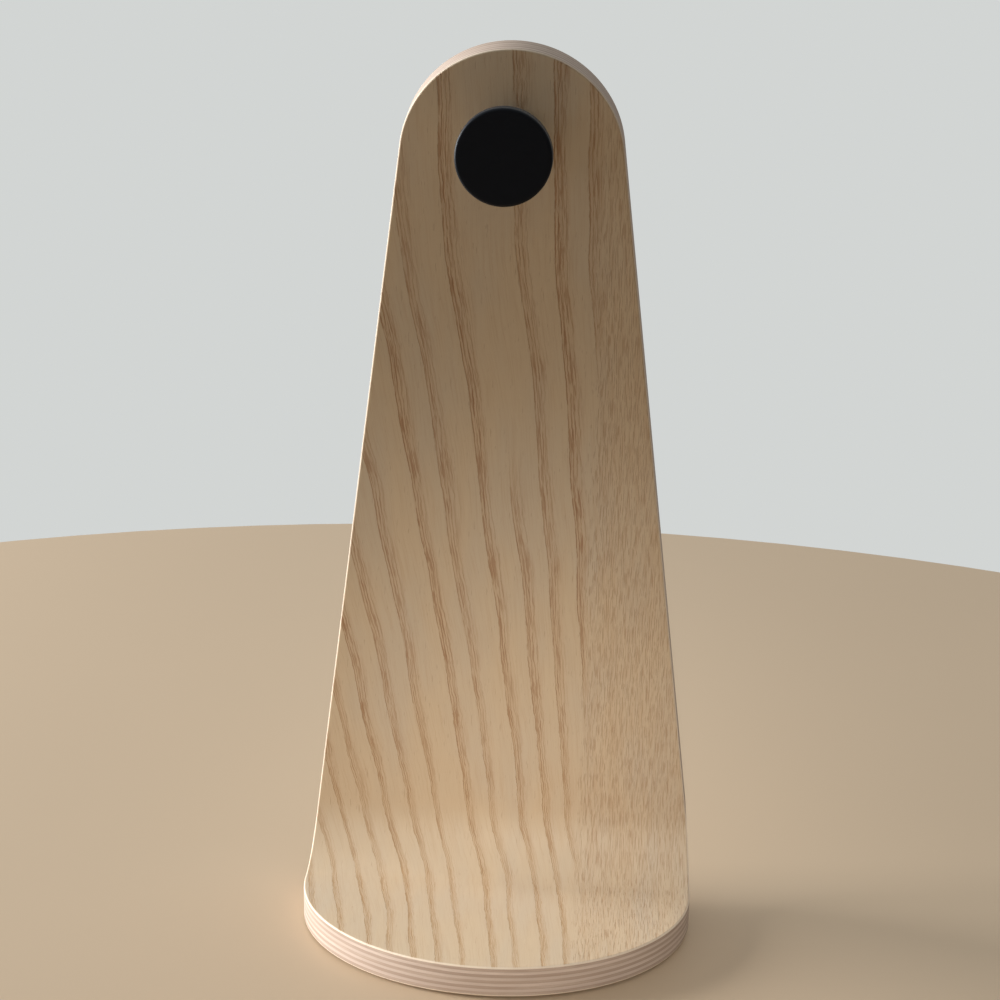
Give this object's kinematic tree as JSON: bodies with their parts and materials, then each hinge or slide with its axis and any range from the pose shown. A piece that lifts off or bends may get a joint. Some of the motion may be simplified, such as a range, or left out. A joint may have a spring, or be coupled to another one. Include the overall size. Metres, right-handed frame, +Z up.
{
  "type": "headphone stand",
  "caption": "Headphone stand: a bent laminated ash board with a bowed flat foot and a tapered, forward-leaning upright, and a black stem with an end disc to hang the headband on.",
  "frame": {"origin": "under the middle of the bounding box, on the plane the pads stand on", "axes": "+Z up, -Y is the front where the foot and the disc are, +X is the right seen from the front"},
  "size_m": [0.134, 0.0942, 0.3016],
  "materials": {
    "ash_veneer": "fine sanded, clear matte lacquer",
    "cross_ply": "sanded end grain, clear matte lacquer",
    "long_ply": "sanded edge grain, clear matte lacquer",
    "black_coating": "matte black powder coat",
    "steel": "plain zinc plated",
    "felt": "thin dense felt"
  },
  "bodies": {
    "root": {"face_veneer_front": "ash_veneer", "core_ply_1": "cross_ply", "core_ply_2": "long_ply", "core_ply_3": "cross_ply", "core_ply_4": "long_ply", "core_ply_5": "cross_ply", "core_ply_6": "long_ply", "core_ply_7": "cross_ply", "core_ply_8": "long_ply", "core_ply_9": "cross_ply", "face_veneer_back": "ash_veneer", "stem": "black_coating", "disc": "black_coating", "stem_washer": "steel", "stem_screw": "steel", "foot_pad_front_left": "felt", "foot_pad_front_right": "felt", "foot_pad_back_left": "felt", "foot_pad_back_right": "felt"}
  },
  "joints": []
}
